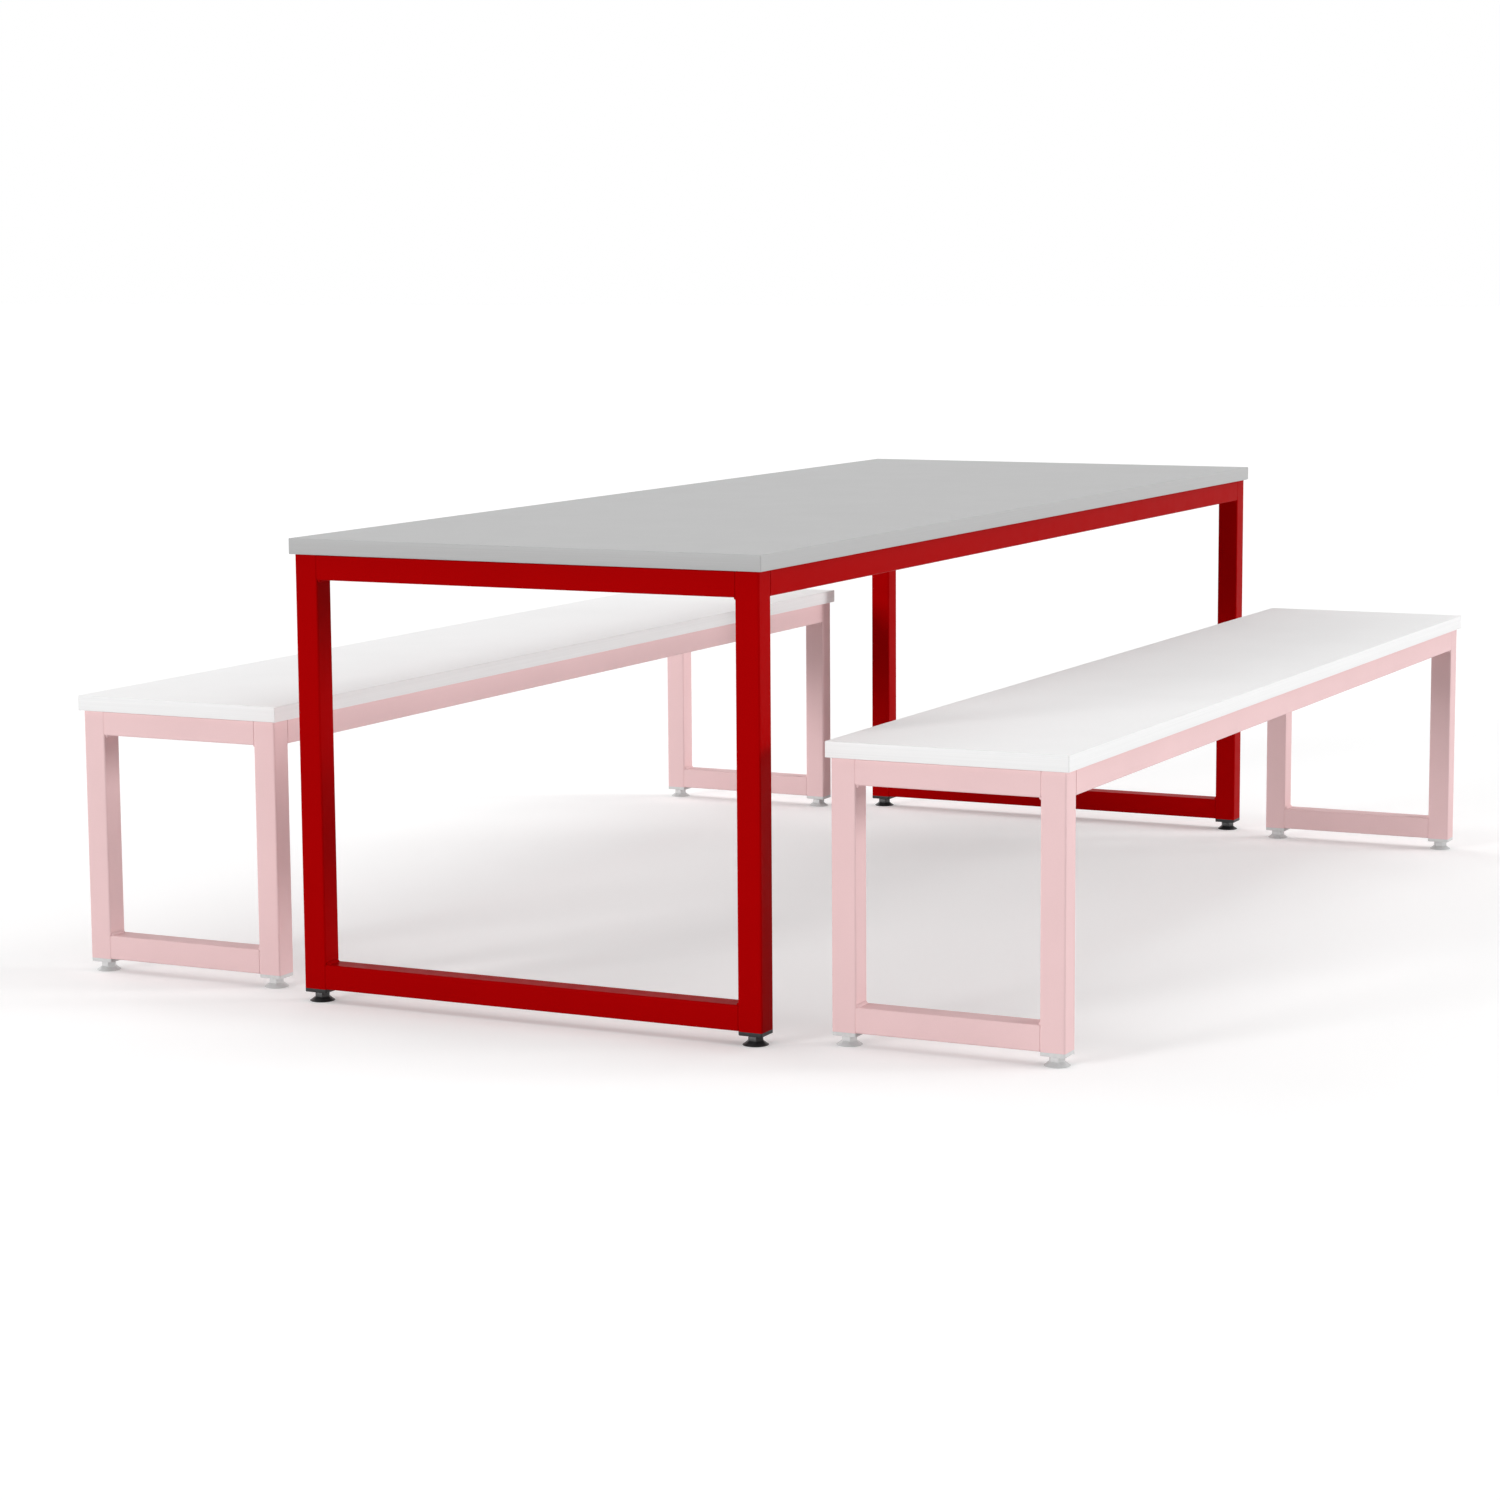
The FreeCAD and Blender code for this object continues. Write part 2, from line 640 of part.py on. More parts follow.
def main():
    fill_sheet()
    units = (
        Unit("table", "table", "0", TABLE_TABS_EACH_SIDE),
        Unit("front_bench", "bench", "-Sizes.bench_distance", BENCH_TABS_EACH_SIDE),
        Unit("back_bench", "bench", "Sizes.bench_distance", BENCH_TABS_EACH_SIDE),
    )
    bead = weld_bead()
    tab = fixing_tab()
    screw = board_screw()
    insert = leg_insert()
    for unit in units:
        add_legs(unit)
        add_end_rails(unit)
        add_side_rails(unit)
        add_welds(unit, bead)
        add_board(unit)
        add_edging(unit)
        add_fixings(unit, tab, screw)
        add_inserts(unit, insert)
        add_feet(unit)
    doc.recompute()
    check_document()
    write_parts()
    print(f"{len(nodes)} nodes, {sum(len(node.Shape.Solids) for node in nodes)} solids")


main()
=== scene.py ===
import json
import math
import bmesh
import bpy
from mathutils import Matrix, Vector


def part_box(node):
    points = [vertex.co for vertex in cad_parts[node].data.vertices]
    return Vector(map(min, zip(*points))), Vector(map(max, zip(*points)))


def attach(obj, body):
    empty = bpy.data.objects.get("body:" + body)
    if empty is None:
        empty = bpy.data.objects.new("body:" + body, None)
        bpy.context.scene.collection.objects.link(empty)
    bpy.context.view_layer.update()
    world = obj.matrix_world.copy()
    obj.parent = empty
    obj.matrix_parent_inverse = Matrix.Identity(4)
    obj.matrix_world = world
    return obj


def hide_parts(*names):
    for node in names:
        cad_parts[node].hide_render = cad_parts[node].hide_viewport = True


# Canteen table with two loose benches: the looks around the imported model.
#
# Everything is in metres, in the model's own frame: X runs along the table, Y across it and Z up.
# The tubes, boards and fixing tabs are the model's own nodes with a finish. The welds, leg inserts,
# levelling feet, board screws and edge bands are modelled here, where the model's nodes lie.

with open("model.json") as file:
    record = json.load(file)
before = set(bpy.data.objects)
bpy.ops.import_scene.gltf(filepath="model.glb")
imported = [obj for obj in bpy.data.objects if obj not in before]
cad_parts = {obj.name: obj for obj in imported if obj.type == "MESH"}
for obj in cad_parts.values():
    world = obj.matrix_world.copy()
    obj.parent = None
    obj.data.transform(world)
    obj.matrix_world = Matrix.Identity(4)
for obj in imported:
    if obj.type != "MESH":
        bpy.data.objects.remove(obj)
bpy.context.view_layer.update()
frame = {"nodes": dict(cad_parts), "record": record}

MM = 0.001
UNITS = {"table": "table", "front_bench": "bench", "back_bench": "bench"}
ENDS = {"left": -1, "right": 1}
SIDES = {"front": -1, "back": 1}
X, Y, Z = (Vector(axis) for axis in ((1, 0, 0), (0, 1, 0), (0, 0, 1)))
SHARP_ANGLE = math.radians(32)
MERGE_DISTANCE = 0.002 * MM
QUARTER_TURN = math.pi / 2

# The camera, worked out from the corners of the table in a picture of 1500 x 1500 pixels. The
# focal length and the optical centre are in its pixels, and the sensor's width in millimetres.
PICTURE_SIDE = 1500
FOCAL_LENGTH = 3549.7
OPTICAL_CENTRE = (776.5, 723.9)
SENSOR_WIDTH = 36
CAMERA_PLACE = Vector((-5.7723, -2.7035, 1.1867))
CAMERA_YAW = math.radians(25.98)
CAMERA_DOWN = math.radians(7.645)
CAMERA_ROLL = math.radians(-0.333)


# ---------------------------------------------------------------- finishes

USUAL_NOISE = (0.3, 0.7)

# The Mix node's sockets for colours, whose names are also those of its sockets for numbers.
MIX_COLOURS = (6, 7)
MIX_RESULT = 2


class Finish:
    """A material being made: the Principled shader, and the nodes that feed it."""

    def __init__(self, name, **constants):
        self.material = bpy.data.materials.new(name)
        self.material.use_nodes = True
        self.tree = self.material.node_tree
        self.shader = self.tree.nodes["Principled BSDF"]
        for socket, value in constants.items():
            self.shader.inputs[socket.replace("_", " ")].default_value = value
        self.place = self.tree.nodes.new("ShaderNodeTexCoord").outputs["Object"]

    def node(self, kind, **settings):
        node = self.tree.nodes.new(kind)
        for name, value in settings.items():
            setattr(node, name, value)
        return node

    def link(self, source, target):
        self.tree.links.new(source, target)

    def stretched(self, per_metre):
        """The place, stretched along each axis: a noise 1 m in size then has this many blotches
        to a metre."""
        mapping = self.node("ShaderNodeMapping")
        mapping.inputs["Scale"].default_value = per_metre
        self.link(self.place, mapping.inputs["Vector"])
        return mapping.outputs["Vector"]

    def noise(self, size, detail=2.0, place=None):
        """Soft noise whose blotches are about size across."""
        noise = self.node("ShaderNodeTexNoise")
        noise.inputs["Scale"].default_value = 1 / size
        noise.inputs["Detail"].default_value = detail
        self.link(place or self.place, noise.inputs["Vector"])
        return noise.outputs["Fac"]

    def spread(self, factor, low, high, taken=USUAL_NOISE):
        """Maps the range that is taken from a noise to the range low to high."""
        spread = self.node("ShaderNodeMapRange")
        for socket, value in zip(("From Min", "From Max", "To Min", "To Max"),
                                 (*taken, low, high)):
            spread.inputs[socket].default_value = value
        self.link(factor, spread.inputs["Value"])
        return spread.outputs["Result"]

    def blend(self, factor, first, second):
        """A colour between two colours or sockets."""
        mix = self.node("ShaderNodeMix", data_type="RGBA")
        self.link(factor, mix.inputs["Factor"])
        for place, colour in zip(MIX_COLOURS, (first, second)):
            if isinstance(colour, tuple):
                mix.inputs[place].default_value = (*colour, 1)
            else:
                self.link(colour, mix.inputs[place])
        return mix.outputs[MIX_RESULT]

    def tint(self, factor, colour, darkest, lightest):
        """A colour that varies with a noise between two of its shades."""
        share = self.spread(factor, 0, 1)
        return self.blend(share, shade(colour, darkest), shade(colour, lightest))

    def relief(self, *layers):
        """Stacks bumps, each (height, depth in metres, strength)."""
        normal = None
        for height, depth, strength in layers:
            bump = self.node("ShaderNodeBump")
            bump.inputs["Distance"].default_value = depth
            bump.inputs["Strength"].default_value = strength
            self.link(height, bump.inputs["Height"])
            if normal:
                self.link(normal, bump.inputs["Normal"])
            normal = bump.outputs["Normal"]
        self.link(normal, self.shader.inputs["Normal"])

    def colour(self, socket):
        self.link(socket, self.shader.inputs["Base Color"])

    def roughness(self, socket):
        self.link(socket, self.shader.inputs["Roughness"])


def shade(colour, factor):
    """A colour made darker or lighter."""
    return tuple(min(1.0, part * factor) for part in colour)


def powder_coat(name, colour, gloss_tint):
    """Baked paint: orange peel, and blotches a little lighter or duller than the rest."""
    finish = Finish(name, Specular_IOR_Level=0.008, Specular_Tint=(*gloss_tint, 1))
    blotches = finish.noise(140 * MM, detail=3)
    flecks = finish.noise(0.8 * MM, detail=1)
    dull_patches = finish.noise(25 * MM)
    peel = finish.noise(2.4 * MM, detail=1)
    ripple = finish.noise(9 * MM, detail=1)
    tone = finish.tint(blotches, colour, 0.97, 1.03)
    fleck = finish.tint(flecks, colour, 0.94, 1.05)
    finish.colour(finish.blend(finish.spread(flecks, 0.2, 0.5), tone, fleck))
    finish.roughness(finish.spread(dull_patches, 0.29, 0.37))
    finish.relief((peel, 0.04 * MM, 0.5), (ripple, 0.05 * MM, 0.5))
    return finish.material


def laminate(name, colour):
    """Pressed laminate: a fine pearl grain with faint clouds, matt."""
    finish = Finish(name, Specular_IOR_Level=0.08)
    clouds = finish.noise(160 * MM, detail=3)
    grain = finish.noise(1.1 * MM)
    dull_patches = finish.noise(60 * MM, detail=4)
    waves = finish.noise(6 * MM, detail=1)
    tone = finish.tint(clouds, colour, 0.985, 1.015)
    speck = finish.tint(grain, colour, 0.94, 1.06)
    finish.colour(finish.blend(finish.spread(grain, 0.25, 0.6), tone, speck))
    finish.roughness(finish.spread(dull_patches, 0.66, 0.74))
    finish.relief((grain, 0.03 * MM, 0.6), (waves, 0.03 * MM, 0.5))
    return finish.material


def edge_band(name, colour):
    """Extruded band: hair-fine lines along its length."""
    finish = Finish(name, Specular_IOR_Level=0.15)
    lines = finish.noise(1.0, place=finish.stretched((3, 3, 1600)))
    grain = finish.noise(0.7 * MM, detail=1)
    finish.colour(finish.tint(lines, colour, 0.97, 1.03))
    finish.roughness(finish.spread(grain, 0.36, 0.46))
    finish.relief((lines, 0.02 * MM, 0.5), (grain, 0.02 * MM, 0.5))
    return finish.material


def moulded_plastic(name, colour, worn):
    """Spark-grained nylon, rubbed a little lighter in patches."""
    finish = Finish(name, Specular_IOR_Level=0.4)
    grain = finish.noise(0.35 * MM)
    rubbed_patches = finish.noise(7 * MM, detail=4)
    waves = finish.noise(4 * MM, detail=1)
    rub = finish.spread(rubbed_patches, 0, 1, taken=(0.45, 0.8))
    finish.colour(finish.blend(rub, colour, worn))
    finish.roughness(finish.spread(grain, 0.4, 0.52))
    finish.relief((grain, 0.03 * MM, 0.6), (waves, 0.05 * MM, 0.4))
    return finish.material


def zinc_plate(name, dull, bright):
    """Zinc-plated steel: cloudy, a shade blue, with fine turning marks."""
    finish = Finish(name, Metallic=1.0)
    clouds = finish.noise(5 * MM, detail=3)
    marks = finish.noise(1.0, detail=1, place=finish.stretched((60, 60, 2500)))
    finish.colour(finish.blend(finish.spread(clouds, 0, 1), dull, bright))
    finish.roughness(finish.spread(clouds, 0.30, 0.44))
    finish.relief((marks, 0.02 * MM, 0.4))
    return finish.material


RED = (0.35, 0.0005, 0.001)
RED_GLOSS = (1.0, 0.12, 0.16)
PALE_GREY = (0.50, 0.50, 0.50)
BAND_GREY = (0.42, 0.42, 0.42)
BLACK = (0.010, 0.010, 0.011)
WORN_BLACK = (0.022, 0.022, 0.023)
PINK = (0.78, 0.55, 0.555)
PINK_GLOSS = (1.0, 0.9, 0.9)
OFF_WHITE = (0.92, 0.92, 0.92)
BAND_WHITE = (0.82, 0.82, 0.82)
LIGHT_GREY = (0.60, 0.60, 0.60)
WORN_LIGHT_GREY = (0.66, 0.66, 0.66)
DULL_ZINC = (0.50, 0.52, 0.55)
BRIGHT_ZINC = (0.64, 0.65, 0.66)

FINISHES = {
    "table_paint": powder_coat("table_paint", RED, RED_GLOSS),
    "table_laminate": laminate("table_laminate", PALE_GREY),
    "table_edging": edge_band("table_edging", BAND_GREY),
    "table_plastic": moulded_plastic("table_plastic", BLACK, WORN_BLACK),
    "zinc_steel": zinc_plate("zinc_steel", DULL_ZINC, BRIGHT_ZINC),
    "bench_paint": powder_coat("bench_paint", PINK, PINK_GLOSS),
    "bench_laminate": laminate("bench_laminate", OFF_WHITE),
    "bench_edging": edge_band("bench_edging", BAND_WHITE),
    "bench_plastic": moulded_plastic("bench_plastic", LIGHT_GREY, WORN_LIGHT_GREY),
}


def finish_nodes():
    """Gives each of the model's nodes the finish that the record names for it."""
    for part in frame["record"]["subparts"]:
        materials = frame["nodes"][part["node"]].data.materials
        materials.clear()
        materials.append(FINISHES[part["material_slot"]])


# ---------------------------------------------------------------- shapes

class Shape:
    """Points and faces gathered from several skins, to become one piece."""

    def __init__(self):
        self.points = []
        self.faces = []

    def add(self, skin, place=None):
        points, faces = skin
        start = len(self.points)
        self.points += [place @ point if place else point for point in points]
        self.faces += [tuple(start + index for index in face) for face in faces]

    def piece(self, name, body, slot, node):
        """One piece on a body, in place of one of the model's nodes."""
        mesh = bpy.data.meshes.new(name)
        mesh.from_pydata(self.points, [], self.faces)
        tidy = bmesh.new()
        tidy.from_mesh(mesh)
        bmesh.ops.remove_doubles(tidy, verts=tidy.verts, dist=MERGE_DISTANCE)
        bmesh.ops.recalc_face_normals(tidy, faces=tidy.faces)
        tidy.to_mesh(mesh)
        tidy.free()
        mesh.shade_smooth()
        mesh.set_sharp_from_angle(angle=SHARP_ANGLE)
        mesh.materials.append(FINISHES[slot])
        piece = bpy.data.objects.new(name, mesh)
        bpy.context.scene.collection.objects.link(piece)
        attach(piece, body)
        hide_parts(node)


def skin(rings, ends="capped"):
    """Faces through loops of points with equal counts. The ends are capped, or joined up."""
    count = len(rings[0])
    points = [point for ring in rings for point in ring]
    rows = len(rings)
    faces = []
    for row in range(rows if ends == "joined" else rows - 1):
        near = row * count
        far = (row + 1) % rows * count
        for column in range(count):
            following = (column + 1) % count
            faces.append((near + column, near + following, far + following, far + column))
    if ends == "capped":
        faces.append(tuple(range(count - 1, -1, -1)))
        faces.append(tuple(range((rows - 1) * count, rows * count)))
    return points, faces


SQUARE = 4
HEXAGON = 6


def polygon_ring(sides, apothem, corner, height, steps=8):
    """A level polygon with rounded corners, two of its sides facing along X. Its corner radius
    is at most its apothem, which makes it a circle."""
    ring = []
    reach = (apothem - corner) / math.cos(math.pi / sides)
    for index in range(sides):
        middle = (index + 0.5) * math.tau / sides
        for step in range(steps + 1):
            angle = middle + (step / steps - 0.5) * math.tau / sides
            ring.append(Vector((
                reach * math.cos(middle) + corner * math.cos(angle),
                reach * math.sin(middle) + corner * math.sin(angle),
                height,
            )))
    return ring


def polygon_skin(sides, profile, ends="capped", steps=8):
    """A skin through polygons given in millimetres, each (apothem, corner radius, height)."""
    return skin([polygon_ring(sides, apothem * MM, corner * MM, height * MM, steps)
                 for apothem, corner, height in profile], ends)


def circle(radius, height):
    """A round row of a profile."""
    return radius, radius, height


def thread_skin(crest, root, pitch, bottom, top, tip=0.0, segments=28):
    """A closed screw thread about Z, in millimetres: four rings a turn that climb as they go
    round. It fades out at both ends. Its last millimetres, tip long, run to a point."""
    phases = (root, root, crest, crest)
    fade = pitch / 2
    bluntness = 0.08
    rows = (math.ceil((top - bottom) / pitch) + 1) * len(phases) + 2
    rings = []
    for row in range(rows):
        ring = []
        for segment in range(segments):
            climb = row / len(phases) + segment / segments - 1
            height = min(max(bottom + climb * pitch, bottom), top)
            angle = math.tau * segment / segments
            full = min(1.0, (height - bottom) / fade, (top - height) / fade)
            radius = root + (phases[row % len(phases)] - root) * full
            if tip:
                radius *= min(1.0, (top - height) / tip + bluntness)
            ring.append(Vector((radius * math.cos(angle), radius * math.sin(angle), height)) * MM)
        rings.append(ring)
    points = [point for ring in rings for point in ring]
    faces = []
    last = segments - 1
    for row in range(rows - 1):
        near = row * segments
        far = near + segments
        for segment in range(last):
            faces.append((near + segment, near + segment + 1, far + segment + 1, far + segment))
        # After its last segment a ring goes on in the one that starts a pitch higher.
        ahead = near + len(phases) * segments
        if row + len(phases) + 1 < rows:
            faces.append((near + last, ahead, ahead + segments, far + last))
    faces.append(tuple(range(last, -1, -1)))
    faces.append(tuple(range((rows - 1) * segments, rows * segments)))
    return points, faces


def solids_of(node):
    """The (lowest corner, highest corner) of each separate solid in one of the model's nodes."""
    solid = bmesh.new()
    solid.from_mesh(frame["nodes"][node].data)
    bmesh.ops.remove_doubles(solid, verts=solid.verts, dist=MERGE_DISTANCE)
    boxes = []
    waiting = set(solid.verts)
    while waiting:
        reached = [waiting.pop()]
        island = []
        while reached:
            point = reached.pop()
            island.append(point.co.copy())
            for edge in point.link_edges:
                other = edge.other_vert(point)
                if other in waiting:
                    waiting.remove(other)
                    reached.append(other)
        boxes.append(tuple(Vector(pick(part) for part in zip(*island)) for pick in (min, max)))
    solid.free()
    return sorted(boxes, key=lambda corners: tuple(corners[0]))


def middle_of(corners):
    return (corners[0] + corners[1]) / 2


# ---------------------------------------------------------------- levelling feet and leg inserts

# In millimetres, but for the tube's side and corner radius.
FLANGE_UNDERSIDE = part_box("table_leg_inserts")[0].z / MM
TUBE_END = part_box("table_leg_left_front")[0].z / MM
INSERT_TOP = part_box("table_leg_inserts")[1].z / MM
FOOT_RADIUS = (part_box("table_foot_left_front")[1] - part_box("table_foot_left_front")[0]).x / MM / 2
STUD_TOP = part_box("table_foot_left_front")[1].z / MM
TUBE_SIDE = (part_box("table_leg_left_front")[1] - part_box("table_leg_left_front")[0]).x
TUBE_CORNER = 3 * MM
SOLE_RECESS_RADIUS = 12
SOLE_RECESS_DEPTH = 0.8
RIM_TOP = 1
FLARE_TOP = 7
FLARE_STEPS = 8
FLARE_HOLLOW = 1.2
FLARE_ROUNDNESS = 0.8
COLLAR_APOTHEM = 11
COLLAR_CORNER = 0.8
STUD_RADIUS = 5.0
STUD_ROOT = 4.1
STUD_CORE = 4.0
STUD_POINT = 3.3
STUD_PITCH = 1.5
BORE_RADIUS = 5.05
BOX_APOTHEM = 16.5
BOX_WALL = 2
BOX_CORNER = 0.6
FIN_APOTHEM = 17.95
FIN_CORNER = 0.8
FIN_HEIGHTS = (4, 16)
INSIDE_CORNER = 0.5
BOSS_WALL = 3
BOSS_CORNER = 0.8


def foot_profile():
    """The moulded foot, from the recess in its sole, round its rim and up a flare to the collar."""
    rim = FOOT_RADIUS
    flare_foot = rim - 0.8
    profile = [circle(SOLE_RECESS_RADIUS, SOLE_RECESS_DEPTH), circle(SOLE_RECESS_RADIUS + 0.5, 0.1),
               circle(SOLE_RECESS_RADIUS + 0.9, 0), circle(rim - 0.7, 0), circle(rim - 0.2, 0.15),
               circle(rim, 0.45), circle(rim - 0.1, 0.75), circle(rim - 0.5, RIM_TOP)]
    for step in range(1, FLARE_STEPS + 1):
        risen = step / FLARE_STEPS
        left = 1 - risen
        apothem = COLLAR_APOTHEM + (flare_foot - COLLAR_APOTHEM) * left ** FLARE_HOLLOW
        corner = COLLAR_CORNER + (apothem - COLLAR_CORNER) * left ** FLARE_ROUNDNESS
        profile.append((apothem, corner, RIM_TOP + (FLARE_TOP - RIM_TOP) * risen))
    profile += [(COLLAR_APOTHEM, COLLAR_CORNER, FLANGE_UNDERSIDE - 0.9),
                circle(COLLAR_APOTHEM - 0.2, FLANGE_UNDERSIDE - 0.05),
                circle(COLLAR_APOTHEM - 0.4, FLANGE_UNDERSIDE),
                circle(STUD_RADIUS + 0.6, FLANGE_UNDERSIDE),
                circle(STUD_RADIUS + 0.2, FLANGE_UNDERSIDE - 0.5)]
    return profile


def add_feet(unit, family):
    """Four levelling feet, each a moulding on a threaded stud, and each on a body of its own."""
    moulding = polygon_skin(HEXAGON, foot_profile())
    thread_top = STUD_TOP - 1
    thread = thread_skin(STUD_RADIUS, STUD_ROOT, STUD_PITCH, FLANGE_UNDERSIDE - 2, thread_top)
    tip = polygon_skin(HEXAGON, [circle(STUD_CORE, thread_top - 1), circle(STUD_CORE, thread_top),
                                 circle(STUD_POINT, STUD_TOP)])
    for end in ENDS:
        for side in SIDES:
            node = f"{unit}_foot_{end}_{side}"
            centre = middle_of(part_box(node))
            place = Matrix.Translation((centre.x, centre.y, 0))
            foot = Shape()
            foot.add(moulding, place)
            foot.piece(f"{node}_moulding", node, f"{family}_plastic", node)
            stud = Shape()
            stud.add(thread, place)
            stud.add(tip, place)
            stud.piece(f"{node}_stud", node, "zinc_steel", node)


def insert_profile():
    """The leg insert: out under its flange, up its finned box, down inside it and up the boss."""
    half = TUBE_SIDE / MM / 2
    corner = TUBE_CORNER / MM
    box = BOX_APOTHEM
    inside = box - BOX_WALL
    boss = BORE_RADIUS + BOSS_WALL
    rounding = 0.5
    bevel = 0.15
    profile = [circle(BORE_RADIUS, FLANGE_UNDERSIDE),
               (half - rounding, corner - rounding, FLANGE_UNDERSIDE),
               (half - bevel, corner - bevel, FLANGE_UNDERSIDE + bevel),
               (half, corner, FLANGE_UNDERSIDE + rounding),
               (half, corner, TUBE_END - bevel),
               (half - bevel, corner - bevel, TUBE_END),
               (box, BOX_CORNER, TUBE_END)]
    for fin_height in FIN_HEIGHTS:
        fin_foot = TUBE_END + fin_height
        profile += [(box, BOX_CORNER, fin_foot), (FIN_APOTHEM, FIN_CORNER, fin_foot + 0.4),
                    (FIN_APOTHEM, FIN_CORNER, fin_foot + 1.0), (box, BOX_CORNER, fin_foot + 1.4)]
    profile += [(box, BOX_CORNER, INSERT_TOP - rounding),
                (box - rounding, INSIDE_CORNER, INSERT_TOP),
                (inside, INSIDE_CORNER, INSERT_TOP), (inside, INSIDE_CORNER, TUBE_END),
                (boss, BOSS_CORNER, TUBE_END), (boss, BOSS_CORNER, INSERT_TOP),
                circle(BORE_RADIUS, INSERT_TOP)]
    return profile


def add_inserts(unit, family):
    """The moulded inserts in the ends of a unit's four legs."""
    insert = polygon_skin(SQUARE, insert_profile(), ends="joined")
    inserts = Shape()
    for corners in solids_of(f"{unit}_leg_inserts"):
        centre = middle_of(corners)
        inserts.add(insert, Matrix.Translation((centre.x, centre.y, 0)))
    inserts.piece(f"{unit}_insert_mouldings", unit, f"{family}_plastic", f"{unit}_leg_inserts")


# ---------------------------------------------------------------- board screws

# In millimetres.
SCREW_CREST = 2.5
SCREW_ROOT = 1.8
SCREW_CORE = 1.7
SCREW_PITCH = 2.2
SCREW_LENGTH = 23.4
SCREW_POINT = 6
HEAD_APOTHEM = 4.0
HEAD_CORNER = 0.3
HEAD_HEIGHT = 3.5
HEAD_DISH_RADIUS = 2.4
WASHER_RADIUS = 4.6


def screw_head_profile():
    """From the dish in the head, up its hexagon and over its washer flange to the shank."""
    return [circle(HEAD_DISH_RADIUS, 0.35), circle(HEAD_DISH_RADIUS + 0.5, 0),
            circle(HEAD_APOTHEM - 0.25, 0), (HEAD_APOTHEM, HEAD_CORNER, 0.45),
            (HEAD_APOTHEM, HEAD_CORNER, HEAD_HEIGHT - 0.8),
            circle(WASHER_RADIUS - 0.05, HEAD_HEIGHT - 0.6),
            circle(WASHER_RADIUS, HEAD_HEIGHT - 0.3), circle(WASHER_RADIUS - 0.1, HEAD_HEIGHT),
            circle(SCREW_ROOT + 0.5, HEAD_HEIGHT), circle(SCREW_CORE, HEAD_HEIGHT + 0.5),
            circle(SCREW_CORE, HEAD_HEIGHT + 3)]


def add_screws(unit):
    """Flanged hex-head wood screws, heads down."""
    screws = Shape()
    head = polygon_skin(HEXAGON, screw_head_profile(), steps=4)
    thread = thread_skin(SCREW_CREST, SCREW_ROOT, SCREW_PITCH, HEAD_HEIGHT + 1, SCREW_LENGTH,
                         tip=SCREW_POINT, segments=20)
    for corners in solids_of(f"{unit}_fixing_screws"):
        centre = middle_of(corners)
        place = Matrix.Translation((centre.x, centre.y, corners[0].z))
        screws.add(head, place)
        screws.add(thread, place)
    screws.piece(f"{unit}_board_screws", unit, "zinc_steel", f"{unit}_fixing_screws")


# ---------------------------------------------------------------- welds

WELD_LEG = 4.5 * MM
WELD_BULGE = 0.14
WELD_RUN_OUT = 3 * MM
WELD_END_SHARE = 0.06
RIPPLE_PITCH = 2.3 * MM
RIPPLE_HEIGHT = 0.22 * MM
RIPPLE_LAG = 0.9 * MM
STATIONS_PER_RIPPLE = 4
SEAM_DEPTH = 0.45 * MM
# A seam's hidden side: points at a share of its width, each some seam depths down.
SEAM_ROOT = ((0.66, 1.6), (0.33, 1.7))
# Two waves that stir that side from station to station, each (reach, rate).
SEAM_SWAYS = ((0.05 * MM, 2.4), (0.04 * MM, 5.1))


def bead_skin(origin, along, first, second, leg, length):
    """A rippled fillet bead. It fills the corner between two directions, about a middle point."""
    count = int(length / RIPPLE_PITCH) * STATIONS_PER_RIPPLE
    section_steps = 6
    straight_out = (first + second).normalized()
    rings = []
    for station in range(count + 1):
        share = station / count
        distance = (share - 0.5) * length
        end_gap = min(share, 1 - share) * length
        fade = math.sqrt(max(WELD_END_SHARE, 1 - max(0.0, 1 - end_gap / WELD_RUN_OUT) ** 2))
        ripple = RIPPLE_HEIGHT * abs(math.sin(math.pi * station / STATIONS_PER_RIPPLE))
        ring = [origin + along * distance]
        for step in range(section_steps + 1):
            across = step / section_steps
            crown = math.sin(math.pi * across)
            out = (first * (1 - across) + second * across) * leg
            out += straight_out * (WELD_BULGE * leg + ripple) * crown
            lag = RIPPLE_LAG * crown * fade
            ring.append(origin + along * (distance - lag) + out * fade)
        rings.append(ring)
    return skin(rings)


def seam_skin(origin, along, into_leg, outward, length):
    """Weld laid in the groove where a rail butts against a leg's rounded corner, ground back
    until only a fine line is left. The origin is on the rail's edge, halfway along the seam."""
    corner = TUBE_CORNER
    arc_end = math.asin(1 - SEAM_DEPTH / corner)
    arc_steps = 6
    stations = 13
    rings = []
    for station in range(stations):
        distance = (station / (stations - 1) - 0.5) * length
        sway = sum(reach * math.sin(station * rate) for reach, rate in SEAM_SWAYS)
        ring = []
        for step in range(arc_steps + 1):
            angle = arc_end * step / arc_steps
            ring.append((corner * (1 - math.cos(angle)), corner * (math.sin(angle) - 1)))
        width = ring[-1][0]
        ring += [(width * share, sway - depths * SEAM_DEPTH) for share, depths in SEAM_ROOT]
        ring.append((0, -SEAM_DEPTH))
        rings.append([origin + along * distance + into_leg * u + outward * v for u, v in ring])
    return skin(rings)


